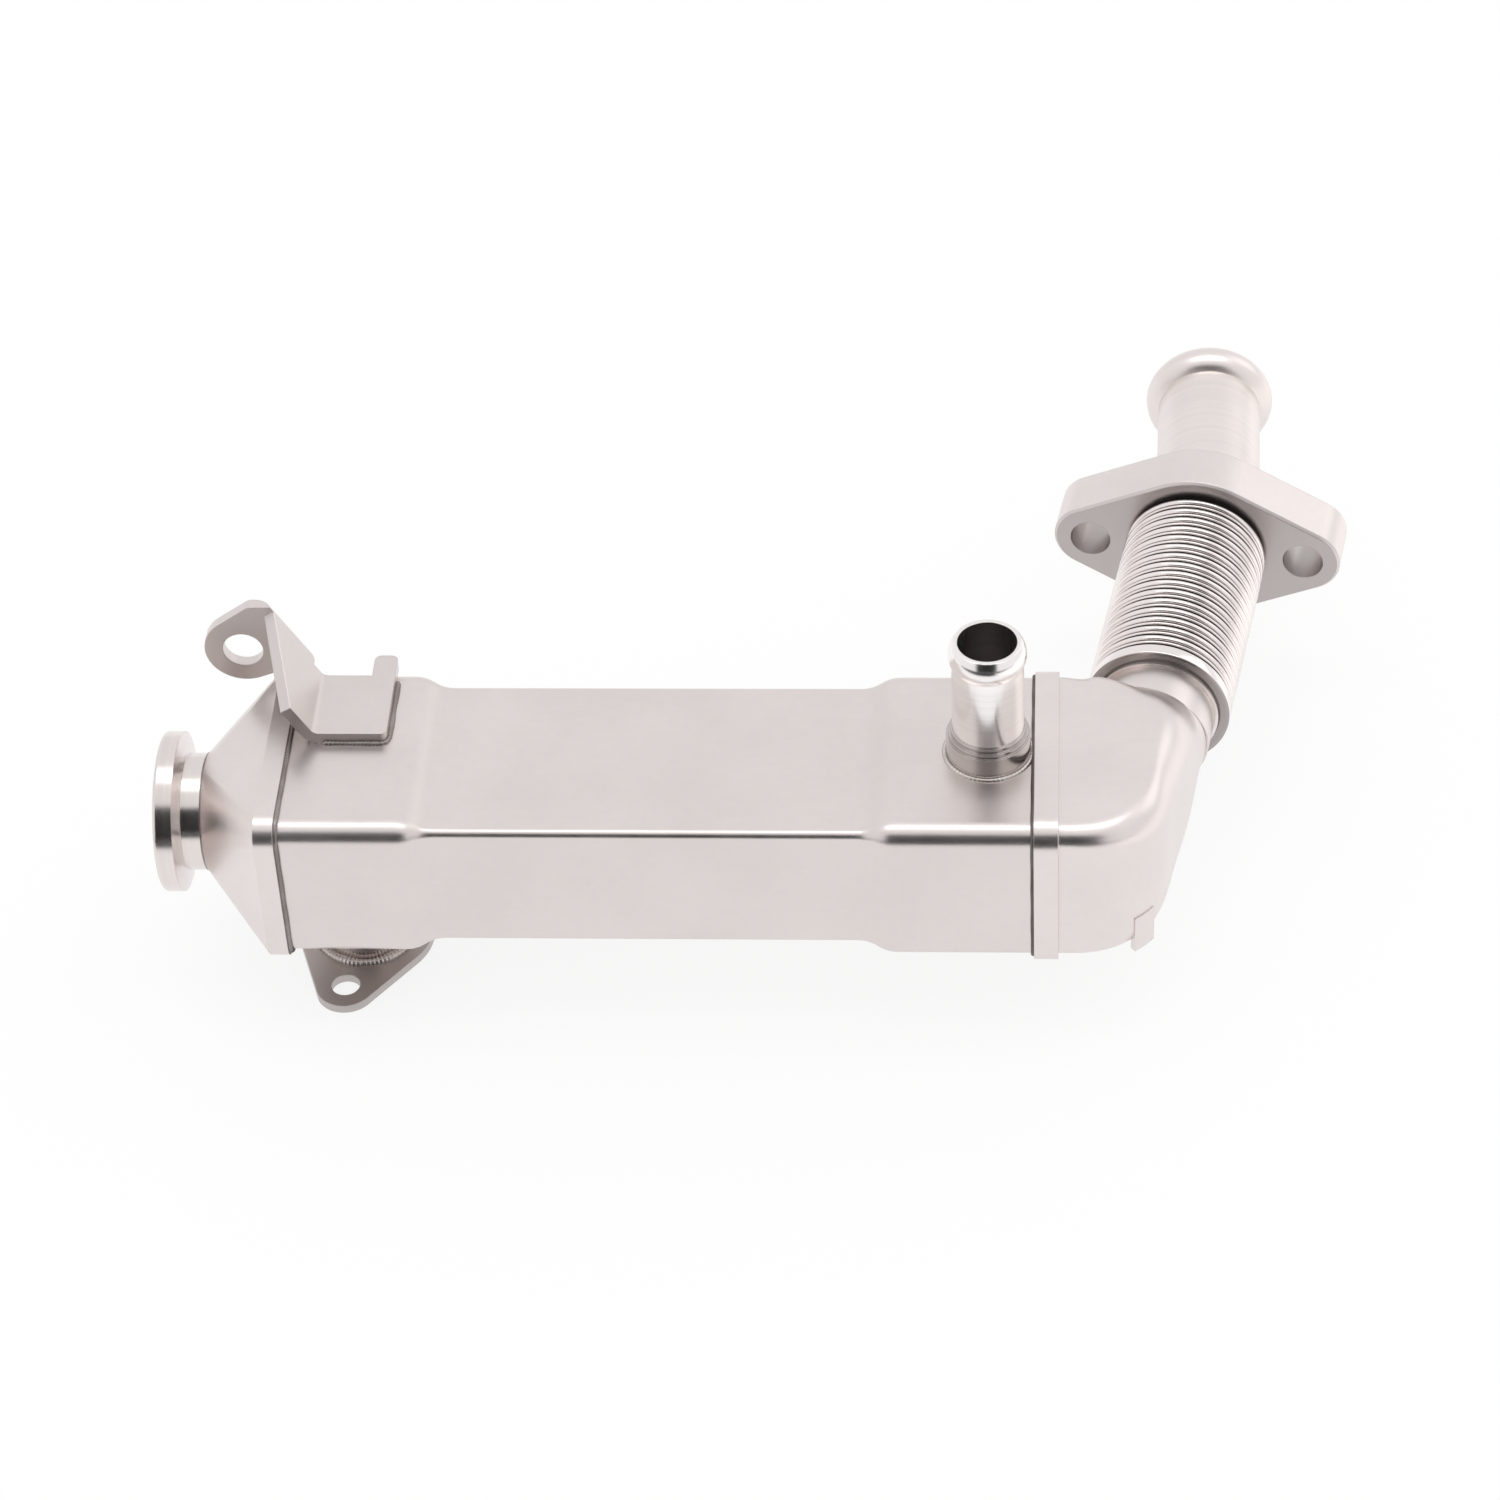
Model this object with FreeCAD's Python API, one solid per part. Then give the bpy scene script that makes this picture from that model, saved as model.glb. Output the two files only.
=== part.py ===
import FreeCAD, Part
import math
import os

os.makedirs("parts", exist_ok=True)

# Exhaust gas recirculation cooler, in millimetres.
# X runs along the core from the clamp flange to the elbow, Z is up through the hose
# nipple, Y is away from the side that carries the lower coolant flange's front hole.
# The origin is the middle of the clamp flange's face, on the core's long axis.

V = FreeCAD.Vector
UP = V(0, 0, 1)

# Sheet and clearances
sheet = 1.0              # wall of the core shell
box_sheet = 1.4          # wall of the cone and the elbow
bolt_gap = 0.6           # a bolt hole is this much wider than its bolt
cut_over = 1.0           # cuts run this far past a face
fin_sheet = 0.25
tube_wall = 0.6

# Core shell
shell_width = 54.6
shell_height = 38.3
shell_corner = 4.15
shell_start = 25.2
shell_end = 201.6
waist_start = 56.0
waist_end = 166.8
waist_depth = 2.6
waist_run = 9.0          # length of each S-shaped step into the waist

# Gas outlet: clamp flange, neck and cone
rim_radius = 18.2
rim_length = 4.4
rim_round = 0.8
flank_length = 1.1
neck_radius = 13.3
neck_end = 10.0
outlet_bore = 12.0
skirt_length = 4.5       # the skirt laps this far over the shell
flat_angle = 8.0         # share of the round end that faces a flat side of the cone

# Gas inlet elbow
lap_length = 4.4         # the elbow's wide band laps this far over the shell
lap_step = 1.0           # length of the step from the band to the elbow
elbow_straight = 6.7
elbow_round = 19.0       # plan radius of the outer wall
elbow_turn = 76.5
elbow_wall_run = 37.2
elbow_side_corner = 9.4  # rounding of the elbow's upper and lower edges on the bend
elbow_blend = 0.66       # share of the bend after which it closes in to the round neck
neck_run = 10.5          # straight part of the neck
inner_corner_x = 210.5
inner_corner_y = 31.4
elbow_end_half = 13.6
elbow_end_corner = 13.0

# Neck, collar and bellows
bellows_x = 225.0
bellows_y = 36.1
bellows_lean = 9.8       # degrees from Y towards X
bellows_length = 55.0
bellows_crests = 17
bellows_radius = 16.8
bellows_root = 13.3
bellows_sheet = 0.4
crest_half = 1.25
crest_flat = 1.1
pipe_radius = 13.5
collar_radius = 14.3
collar_length = 1.2

# Gas inlet flange and spigot
cuff_bare = 2.7          # bare cuff between the last crest and the flange
flange_thick = 13.5
flange_mid_radius = 20.2
flange_tip_radius = 8.8
flange_hole_offset = 25.5
flange_bolt = 9.0
flange_bevel = 0.6
spigot_shift = 0.65      # the spigot sits this far to the outer side of the flange
spigot_lean = 1.6
spigot_radius = 12.45
spigot_wall = 1.2
spigot_depth = 6.0
seat_shoulder = 0.5      # width of the shoulder that stops the spigot in the flange
relief_radius = 15.8     # shallow recess in the flange's face round the spigot
relief_depth = 0.8
spigot_length = 49.2
ball_place = 44.3
ball_ring = 10.9
ball_round = 4.5

# Coolant nipple
nipple_from_end = 14.6   # from the shell's end by the elbow
nipple_radius = 8.0
nipple_bore = 6.6
nipple_length = 32.05    # above the shell
bead_radius = 8.7
bead_below_top = 3.4
bead_half = 2.5
nipple_lip = 7.5
collar_steps = ((9.4, 5.5), (8.9, 6.7), (8.4, 7.8))   # radius, height above the shell

# Coolant outlet
outlet_from_start = 17.3 # from the shell's end by the cone
outlet_radius = 10.5
outlet_wall = 1.2
outlet_drop = 17.75      # from the shell's underside to the flange's top
outlet_flange_thick = 2.2
outlet_flange_mid = 15.6
outlet_flange_tip = 6.8
outlet_hole_offset = 18.8
outlet_flange_turn = 9.0
outlet_bolt = 6.0

# Mounting bracket
bracket_sheet = 2.8
bracket_bend_x = 35.8
bracket_right = 52.1
bracket_near = 2.0
bracket_notch = 21.85
bracket_back = 26.8
finger_left = 46.8
finger_end = 28.8
finger_round = 1.6
fold_round = 3.5         # outside of the fold between the arm and the ear
bend_inside = 2.0
arm_angle = 60.0
arm_near = 8.9           # the arm's reach up its slope, at its near and back edges
arm_far = 21.2
arm_step = 3.9           # the arm's back edge starts this far up the slope
arm_corner = 4.5
ear_x = 17.6
ear_z = 27.8
ear_radius = 8.8
ear_top_x = 19.9         # the ear's upper edge runs level from here to the fold
ear_top_round = 3.0
ear_bolt = 8.6

# Support tab on the elbow
tab_sheet = 1.5
tab_height = 9.9
tab_drop = 0.25          # the tab reaches this far below the elbow
tab_from = 36.0
tab_to = 54.0
tab_proud = 0.3          # the tab stands out of the elbow's wall by this

# Inner parts
header_thick = 1.5
header_rim = 5.0
header_left = 26.4
header_right = 200.6
tube_count = 5
tube_height = 4.6
tube_side_gap = 1.7      # coolant gap between the tubes and the waist, at the sides
tube_top_gap = 1.25      # the same above and below
tube_over = 1.0          # tubes stand this far out of the header plates
fin_pitch = 3.0
fin_margin = 4.0
baffle_places = (92.0, 131.0)
baffle_thick = 1.0
baffle_window = 1.2
header_rim_thick = 1.05
tube_round = 0.96        # rounding of the tubes' sides, as a share of the full half round

half_w = shell_width / 2
half_h = shell_height / 2
core_half_w = half_w - sheet - waist_depth     # free space inside the waist
core_half_h = half_h - sheet - waist_depth
tube_width = 2 * (core_half_w - tube_side_gap)
tube_pitch = (2 * (core_half_h - tube_top_gap) - tube_height) / (tube_count - 1)
fin_count = int((tube_width - tube_height) / fin_pitch)
flange_distance = bellows_length + cuff_bare
nipple_x = shell_end - nipple_from_end
outlet_x = shell_start + outlet_from_start


def direction(lean):
    """Level unit vector that leans from +Y towards +X."""
    angle = math.radians(lean)
    return V(math.sin(angle), math.cos(angle), 0)


def across(lean):
    """Level unit vector at right angles to direction(lean), towards +X."""
    angle = math.radians(lean)
    return V(math.cos(angle), -math.sin(angle), 0)


def save(shape, name):
    if not shape.isValid():
        shape.fix(0.001, 0.001, 0.001)
    shape.exportStep("parts/" + name + ".step")
    print(name, round(shape.Volume, 1), len(shape.Solids), shape.isValid())


# Outlines
def frame_wire(centre, side, top, half_side, half_top, corner):
    """Rounded rectangle in the plane of side and top: four arcs and four lines."""
    def point(k, degrees):
        sign_s = 1 if k in (0, 3) else -1
        sign_t = 1 if k in (0, 1) else -1
        angle = math.radians(degrees)
        s = sign_s * (half_side - corner) + corner * math.cos(angle)
        t = sign_t * (half_top - corner) + corner * math.sin(angle)
        return centre + side * s + top * t
    edges = []
    for k in range(4):
        first = point(k, 90 * k)
        middle = point(k, 90 * k + 45)
        last = point(k, 90 * k + 90)
        edges.append(Part.Arc(first, middle, last).toShape())
        follow = point((k + 1) % 4, 90 * k + 90)
        edges.append(Part.makeLine(last, follow))
    return Part.Wire(edges)


def round_wire(centre, side, top, radius, gap):
    """Circle in eight arcs, to loft onto the eight edges of a rounded rectangle."""
    def point(degrees):
        angle = math.radians(degrees)
        return centre + side * (radius * math.cos(angle)) + top * (radius * math.sin(angle))
    edges = []
    for k in range(4):
        low = 90 * k + gap / 2
        high = 90 * k + 90 - gap / 2
        edges.append(Part.Arc(point(low), point((low + high) / 2), point(high)).toShape())
        edges.append(Part.Arc(point(high), point(high + gap / 2), point(high + gap)).toShape())
    return Part.Wire(edges)


def prism(x_from, x_to, half_side, half_top, corner):
    wire = frame_wire(V(x_from, 0, 0), V(0, 1, 0), UP, half_side, half_top, corner)
    return Part.Face(wire).extrude(V(x_to - x_from, 0, 0))


def turned(points, base, axis):
    """Solid of revolution. Points are (along, radius) or three of them for an arc."""
    side = V(0, 0, 1) if abs(axis.z) < 0.5 else V(1, 0, 0)

    def place(p):
        return base + axis * p[0] + side * p[1]
    edges = []
    last = points[0]
    for item in points[1:] + [points[0]]:
        if isinstance(item[0], tuple):
            edges.append(Part.Arc(place(last), place(item[0]), place(item[1])).toShape())
            last = item[1]
        else:
            edges.append(Part.makeLine(place(last), place(item)))
            last = item
    return Part.Face(Part.Wire(edges)).revolve(base, axis, 360)


def rod(base, axis, radius, length):
    return Part.makeCylinder(radius, length, base, axis)


def oval_plate(mid_radius, tip_radius, offset, thick):
    """Two-hole flange blank: a round middle and two round tips, on lines tangent to both."""
    tangent = math.acos((mid_radius - tip_radius) / offset)
    flat = math.pi - tangent

    def at(centre, radius, angle):
        return V(centre + radius * math.cos(angle), radius * math.sin(angle), 0)

    def arc(centre, radius, start, stop):
        middle = (start + stop) / 2
        ends = [at(centre, radius, a) for a in (start, middle, stop)]
        return Part.Arc(*ends).toShape()
    edges = [
        arc(offset, tip_radius, -tangent, tangent),
        Part.makeLine(at(offset, tip_radius, tangent), at(0, mid_radius, tangent)),
        arc(0, mid_radius, tangent, flat),
        Part.makeLine(at(0, mid_radius, flat), at(-offset, tip_radius, flat)),
        arc(-offset, tip_radius, flat, 2 * math.pi - flat),
        Part.makeLine(at(-offset, tip_radius, -flat), at(0, mid_radius, -flat)),
        arc(0, mid_radius, -flat, -tangent),
        Part.makeLine(at(0, mid_radius, -tangent), at(offset, tip_radius, -tangent)),
    ]
    return Part.Face(Part.Wire(edges)).extrude(V(0, 0, thick))


# Core shell with its waist
def waist_profile(surface):
    """Outline, in the XZ plane, of what the waist takes off one side of a block."""
    run = waist_run
    deep = waist_depth
    bend = (run * run + deep * deep) / (4 * deep)
    steep = math.asin(run / 2 / bend)

    def step(x, way):
        first = V(x, 0, surface)
        middle = V(x + way * run / 2, 0, surface - deep / 2)
        last = V(x + way * run, 0, surface - deep)
        rise = bend * (1 - math.cos(steep / 2))
        reach = bend * math.sin(steep / 2)
        upper = Part.Arc(first, V(x + way * reach, 0, surface - rise), middle)
        lower = Part.Arc(middle, V(last.x - way * reach, 0, last.z + rise), last)
        return upper.toShape(), lower.toShape(), last
    up_a, low_a, floor_a = step(waist_start, 1)
    up_b, low_b, floor_b = step(waist_end, -1)
    above = V(0, 0, 1)
    start = V(waist_start, 0, surface)
    stop = V(waist_end, 0, surface)
    edges = [
        up_a,
        low_a,
        Part.makeLine(floor_a, floor_b),
        low_b,
        up_b,
        Part.makeLine(stop, stop + above),
        Part.makeLine(stop + above, start + above),
        Part.makeLine(start + above, start),
    ]
    return Part.Face(Part.Wire(Part.sortEdges(edges)[0]))


def waisted_block(x_from, x_to, inset):
    """Long block with the waist pressed in on all four sides and round the corners."""
    half_side = half_w - inset
    half_top = half_h - inset
    corner = shell_corner - inset
    block = prism(x_from, x_to, half_side, half_top, corner)
    for k in range(4):
        reach = (half_top, half_side)[k % 2]
        length = (half_side, half_top)[k % 2] - corner
        face = waist_profile(reach)
        face.translate(V(0, -length, 0))
        side = face.extrude(V(0, 2 * length, 0))
        bend_face = waist_profile(reach)
        bend_face.translate(V(0, length, 0))
        corner_axis = V(0, length, reach - corner)
        bend = bend_face.revolve(corner_axis, V(1, 0, 0), -90)
        for tool in (side, bend):
            tool.rotate(V(0, 0, 0), V(1, 0, 0), -90 * k)
            block = block.cut(tool)
    return block


def make_shell():
    outside = waisted_block(shell_start, shell_end, 0)
    inside = waisted_block(shell_start - 1, shell_end + 1, sheet)
    shell = outside.cut(inside)
    shell = shell.cut(rod(V(nipple_x, 0, 0), UP, nipple_radius, shell_height))
    shell = shell.cut(rod(V(outlet_x, 0, 0), -UP, outlet_radius, shell_height))
    return shell


# Gas outlet
def make_clamp_flange():
    axis = V(1, 0, 0)
    rim = rim_radius
    curve = rim_round * math.sin(math.radians(45))
    corner = ((rim_round - curve, rim - rim_round + curve), (rim_round, rim))
    points = [
        (0, outlet_bore),
        (0, rim - rim_round),
        corner,
        (rim_length, rim),
        (rim_length + flank_length, neck_radius),
        (neck_end, neck_radius),
        (neck_end, outlet_bore),
    ]
    return turned(points, V(0, 0, 0), axis)


def make_cone():
    side = V(0, 1, 0)

    def cone(radius, grow, start, stop):
        small = round_wire(V(start, 0, 0), side, UP, radius, flat_angle)
        big = frame_wire(V(stop, 0, 0), side, UP, half_w + grow, half_h + grow,
                         shell_corner + grow)
        return Part.makeLoft([small, big], True, True)
    outside = cone(neck_radius, box_sheet, neck_end, shell_start)
    skirt = prism(shell_start, shell_start + skirt_length, half_w + box_sheet,
                  half_h + box_sheet, shell_corner + box_sheet)
    inside = cone(outlet_bore, 0, neck_end, shell_start)
    pocket = prism(shell_start, shell_start + skirt_length, half_w, half_h, shell_corner)
    return outside.fuse(skirt).cut(inside.fuse(pocket)).removeSplitter()


# Gas inlet elbow
def outer_path(distance):
    """Point on the elbow's outer wall in plan, by distance from the band."""
    start = V(shell_end, -half_w, 0)
    turn = math.radians(elbow_turn)
    arc_length = elbow_round * turn
    if distance <= elbow_straight:
        return start + V(distance, 0, 0)
    hub = start + V(elbow_straight, elbow_round, 0)
    angle = min((distance - elbow_straight) / elbow_round, turn)
    point = hub + V(math.sin(angle), -math.cos(angle), 0) * elbow_round
    rest = max(distance - elbow_straight - arc_length, 0)
    return point + V(math.cos(turn), math.sin(turn), 0) * rest


def inner_path(share):
    start = V(shell_end, half_w, 0)
    stop = V(inner_corner_x, inner_corner_y, 0)
    return start + (stop - start) * share


def elbow_body(inset):
    """Loft that swings round the elbow's inner corner, from the core to the neck."""
    whole = elbow_straight + elbow_round * math.radians(elbow_turn) + elbow_wall_run
    stations = (0.0, 0.11, 0.22, 0.33, 0.44, 0.58, 0.72, 0.86, 1.0)
    wires = []
    for share in stations:
        near = outer_path(share * whole)
        far = inner_path(share)
        side = (near - far).normalize()
        half_side = (near - far).Length / 2
        late = max(share - elbow_blend, 0) / (1 - elbow_blend)
        half_top = half_h + (elbow_end_half - half_h) * late ** 2
        opened = 0.5 - 0.5 * math.cos(math.pi * min(share / elbow_blend, 1))
        corner = shell_corner + (elbow_side_corner - shell_corner) * opened
        corner = corner + (elbow_end_corner - corner) * late ** 2
        if share == 1.0:
            half_side = elbow_end_half
        wires.append(frame_wire((near + far) * 0.5, side, UP, half_side - inset,
                                half_top - inset, corner - inset))
    return Part.makeLoft(wires, True, False)


def neck_rod(radius, extra):
    axis = direction(bellows_lean)
    end = V(bellows_x, bellows_y, 0)
    return rod(end - axis * neck_run, axis, radius, neck_run + extra)


def elbow_outside():
    band_end = shell_end + lap_step
    band = prism(shell_end - lap_length, band_end, half_w + box_sheet,
                 half_h + box_sheet, shell_corner + box_sheet)
    return band.fuse(elbow_body(0)).fuse(neck_rod(pipe_radius, 0))


def make_elbow():
    pocket = prism(shell_end - lap_length, shell_end, half_w, half_h, shell_corner)
    inside = elbow_body(box_sheet).fuse(neck_rod(pipe_radius - box_sheet, 1))
    return elbow_outside().cut(pocket).cut(inside)


def make_tab():
    """Small upright strip along the foot of the elbow's outer wall."""
    low = -half_h - tab_drop
    hub = V(shell_end + elbow_straight, -half_w + elbow_round, low)
    outer = elbow_round + tab_proud
    height = tab_height
    ring = rod(hub, UP, outer, height).cut(rod(hub, UP, outer - tab_sheet, height))
    reach = 2 * elbow_round

    def ray(degrees):
        angle = math.radians(degrees)
        return hub + V(math.sin(angle), -math.cos(angle), 0) * reach
    sector = Part.makePolygon([hub, ray(tab_from), ray(tab_to), hub])
    sector = Part.Face(sector).extrude(V(0, 0, height))
    strip = ring.common(sector)
    return strip.cut(elbow_body(0))


# Bellows and its collar
def make_bellows_collar():
    axis = direction(bellows_lean)
    end = V(bellows_x, bellows_y, 0)
    tall = rod(end - axis * collar_length, axis, collar_radius, collar_length)
    return tall.cut(rod(end - axis * 2 * collar_length, axis, pipe_radius, 3 * collar_length))


def make_bellows():
    """Thin wall folded into crests, turned in one piece with its cuff in the flange."""
    pitch = (bellows_length - 2 * crest_half) / (bellows_crests - 1)
    hollow_half = crest_half - bellows_sheet
    hollow_top = bellows_radius - 2 * bellows_sheet
    bore = bellows_root - bellows_sheet
    outside = []
    inside = [(0, bore)]
    for k in range(bellows_crests):
        crest = crest_half + k * pitch
        outside.append((crest - crest_half, bellows_root))
        outside.append((crest - crest_flat / 2, bellows_radius))
        outside.append((crest + crest_flat / 2, bellows_radius))
        outside.append((crest + crest_half, bellows_root))
        inside.append((crest - hollow_half, bore))
        inside.append((crest, hollow_top))
        inside.append((crest + hollow_half, bore))
    cuff = bellows_length + flange_thick / 2
    outside.append((cuff, bellows_root))
    inside.append((cuff, bore))
    body = turned(outside + inside[::-1], V(bellows_x, bellows_y, 0), direction(bellows_lean))
    return body.cut(behind_flange_face())


def behind_flange_face():
    """Block that fills everything beyond the gas flange's front face."""
    reach = 2 * flange_mid_radius
    face = Part.makeBox(2 * reach, 2 * reach, 2 * flange_thick, V(-reach, -reach, 0))
    return place_flange(face)


# Gas inlet flange and spigot
def on_bellows(distance):
    """Point on the bellows' axis, by distance from the neck's end."""
    return V(bellows_x, bellows_y, 0) + direction(bellows_lean) * distance


def place_flange(shape):
    """From the drawing plane, with the holes along X, square onto the bellows' axis."""
    shape.rotate(V(0, 0, 0), V(1, 0, 0), -90)
    shape.rotate(V(0, 0, 0), UP, -bellows_lean)
    shape.translate(on_bellows(flange_distance))
    return shape


def spigot_base():
    middle = on_bellows(flange_distance + flange_thick)
    return middle + across(bellows_lean) * spigot_shift


def make_gas_flange():
    plate = oval_plate(flange_mid_radius, flange_tip_radius, flange_hole_offset, flange_thick)
    edges = [e for e in plate.Edges if abs(e.Vertexes[0].Z - e.Vertexes[-1].Z) < 0.01]
    plate = plate.makeChamfer(flange_bevel, edges)
    for sign in (-1, 1):
        base = V(sign * flange_hole_offset, 0, -1)
        plate = plate.cut(rod(base, UP, (flange_bolt + bolt_gap) / 2, flange_thick + 2))
    recess = rod(V(spigot_shift, 0, flange_thick - relief_depth), UP, relief_radius,
                 2 * relief_depth)
    plate = place_flange(plate.cut(recess))
    axis = direction(spigot_lean)
    seat = spigot_base() - axis * spigot_depth
    plate = plate.cut(rod(seat, axis, spigot_radius, 2 * spigot_depth))
    passage = spigot_radius - seat_shoulder
    return plate.cut(rod(seat - axis * flange_thick, axis, passage, 2 * flange_thick))


def make_spigot():
    inner = spigot_radius - spigot_wall
    rise = math.sqrt(ball_round ** 2 - (spigot_radius - ball_ring) ** 2)
    small = ball_round - spigot_wall
    rise_in = math.sqrt(small ** 2 - (inner - ball_ring) ** 2)
    points = [
        (-spigot_depth, spigot_radius),
        (ball_place - rise, spigot_radius),
        ((ball_place, ball_ring + ball_round), (ball_place + rise, spigot_radius)),
        (spigot_length, spigot_radius),
        (spigot_length, inner),
        (ball_place + rise_in, inner),
        ((ball_place, ball_ring + small), (ball_place - rise_in, inner)),
        (-spigot_depth, inner),
    ]
    return turned(points, spigot_base(), direction(spigot_lean))


# Coolant connections
def make_nipple():
    low = half_h - 2 * sheet
    top = half_h + nipple_length
    bead = top - bead_below_top
    points = [
        (low, nipple_bore),
        (low, nipple_radius),
        (bead - bead_half, nipple_radius),
        ((bead, bead_radius), (top, nipple_lip)),
        (top, nipple_bore),
    ]
    return turned(points, V(nipple_x, 0, 0), UP)


def make_nipple_collar():
    points = [(half_h, nipple_radius)]
    level = half_h
    for radius, height in collar_steps:
        points.append((level, radius))
        level = half_h + height
        points.append((level, radius))
    points.append((level, nipple_radius))
    return turned(points, V(nipple_x, 0, 0), UP)


def make_outlet_tube():
    top = -half_h + 2 * sheet
    bottom = -half_h - outlet_drop - outlet_flange_thick
    tube = rod(V(outlet_x, 0, bottom), UP, outlet_radius, top - bottom)
    return tube.cut(rod(V(outlet_x, 0, bottom), UP, outlet_radius - outlet_wall, top - bottom))


def make_outlet_flange():
    plate = oval_plate(outlet_flange_mid, outlet_flange_tip, outlet_hole_offset,
                       outlet_flange_thick)
    for sign in (-1, 1):
        base = V(sign * outlet_hole_offset, 0, -1)
        plate = plate.cut(rod(base, UP, (outlet_bolt + bolt_gap) / 2, 2 * outlet_flange_thick))
    plate = plate.cut(rod(V(0, 0, -1), UP, outlet_radius, 2 * outlet_flange_thick))
    plate.rotate(V(0, 0, 0), UP, 90 - outlet_flange_turn)
    plate.translate(V(outlet_x, 0, -half_h - outlet_drop - outlet_flange_thick))
    return plate


# Mounting bracket
def arm_point(along, height):
    """Point on the arm, by distance up the slope and height above its lower face."""
    slope = math.radians(arm_angle)
    x = bracket_bend_x - along * math.cos(slope) + (height - bracket_sheet) * math.sin(slope)
    z = half_h + bracket_sheet + along * math.sin(slope)
    z = z + (height - bracket_sheet) * math.cos(slope)
    return V(x, 0, z)


def bent_strip(y_from, y_to, reach):
    """Base and arm in one bent strip of sheet."""
    slope = math.radians(arm_angle)
    ease = bend_inside * math.tan(slope / 2)
    low = half_h
    high = half_h + bracket_sheet
    hub = V(bracket_bend_x + ease, 0, high + bend_inside)

    def on(radius, share):
        angle = slope * share
        return hub + V(-math.sin(angle), 0, -math.cos(angle)) * radius
    wide = bend_inside + bracket_sheet
    edges = [
        Part.makeLine(V(bracket_right, 0, low), V(hub.x, 0, low)),
        Part.Arc(on(wide, 0), on(wide, 0.5), on(wide, 1)).toShape(),
        Part.makeLine(on(wide, 1), arm_point(reach, 0)),
        Part.makeLine(arm_point(reach, 0), arm_point(reach, bracket_sheet)),
        Part.makeLine(arm_point(reach, bracket_sheet), on(bend_inside, 1)),
        Part.Arc(on(bend_inside, 1), on(bend_inside, 0.5), on(bend_inside, 0)).toShape(),
        Part.makeLine(V(hub.x, 0, high), V(bracket_right, 0, high)),
        Part.makeLine(V(bracket_right, 0, high), V(bracket_right, 0, low)),
    ]
    face = Part.Face(Part.Wire(edges))
    face.translate(V(0, y_from, 0))
    return face.extrude(V(0, y_to - y_from, 0))


def tangent_point(centre, radius, outer, way):
    """Point where the line from outer touches a circle in the XZ plane."""
    gap = outer - centre
    base = math.atan2(gap.z, gap.x)
    open_angle = math.acos(radius / gap.Length)
    angle = base + way * open_angle
    return centre + V(math.cos(angle), 0, math.sin(angle)) * radius


def make_ear():
    """Upright ear in the XZ plane, folded down from the arm's back edge."""
    front = bracket_back - bracket_sheet
    centre = V(ear_x, 0, ear_z)
    high = arm_point(arm_far, bracket_sheet)
    low = arm_point(arm_step, bracket_sheet)
    inner_low = arm_point(arm_step, 0)
    crown = V(ear_top_x, 0, high.z)
    upper = tangent_point(centre, ear_radius, crown, 1)
    lower = tangent_point(centre, ear_radius, inner_low, -1)
    tip = centre - V(ear_radius, 0, 0)
    edges = [
        Part.makeLine(low, high),
        Part.makeLine(high, crown),
        Part.makeLine(crown, upper),
        Part.Arc(upper, tip, lower).toShape(),
        Part.makeLine(lower, inner_low),
        Part.makeLine(inner_low, low),
    ]
    face = Part.Face(Part.Wire(edges))
    face.translate(V(0, front, 0))
    ear = face.extrude(V(0, bracket_sheet, 0))
    rounds = [e for e in ear.Edges if at_crown(e, crown)]
    return ear.makeFillet(ear_top_round, rounds)


def at_crown(edge, crown):
    """True for the ear's edge above the point where its upper side turns level."""
    ends = [v.Point for v in edge.Vertexes]
    return all(abs(p.x - crown.x) + abs(p.z - crown.z) < 0.01 for p in ends)


def on_arm(along, y):
    """Point on the arm's lower face, by distance up the slope and by Y."""
    point = arm_point(along, 0)
    return V(point.x, y, point.z)


def through_arm(edges):
    """Tool that cuts a closed outline on the arm square through the sheet."""
    slope = math.radians(arm_angle)
    normal = V(math.sin(slope), 0, math.cos(slope))
    face = Part.Face(Part.Wire(edges))
    face.translate(-normal * bracket_sheet)
    return face.extrude(normal * 3 * bracket_sheet)


def slanted_end():
    """What the slanted cut takes off the arm's upper end."""
    rise = (arm_far - arm_near) / (bracket_back - bracket_near) * cut_over
    near = bracket_near - cut_over
    far = bracket_back + cut_over
    over = arm_far + 2 * bracket_sheet
    corners = [
        on_arm(arm_near - rise, near),
        on_arm(arm_far + rise, far),
        on_arm(over, far),
        on_arm(over, near),
    ]
    return through_arm(Part.makePolygon(corners + corners[:1]).Edges)


def lower_back_corner():
    """What the rounding takes off the arm's lower back corner."""
    part = arm_corner * (1 - math.sin(math.radians(45)))
    far = bracket_back + cut_over
    first = on_arm(arm_step, bracket_back - arm_corner)
    middle = on_arm(arm_step + part, bracket_back - part)
    last = on_arm(arm_step + arm_corner, bracket_back)
    corners = [last, on_arm(arm_step + arm_corner, far), on_arm(arm_step - cut_over, far),
               on_arm(arm_step - cut_over, bracket_back - arm_corner), first]
    edges = [Part.Arc(first, middle, last).toShape()] + Part.makePolygon(corners).Edges
    return through_arm(edges)


def back_notch():
    """What is punched out of the strip behind the base, up to the arm's back edge."""
    right = bracket_right + cut_over
    low = half_h - cut_over
    top = arm_point(arm_step, bracket_sheet + cut_over)
    corners = [
        arm_point(arm_step, -cut_over),
        top,
        V(right, 0, top.z),
        V(right, 0, low),
        V(bracket_bend_x - bracket_sheet, 0, low),
    ]
    face = Part.Face(Part.makePolygon(corners + corners[:1]))
    face.translate(V(0, bracket_notch, 0))
    return face.extrude(V(0, bracket_back - bracket_notch + cut_over, 0))


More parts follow.
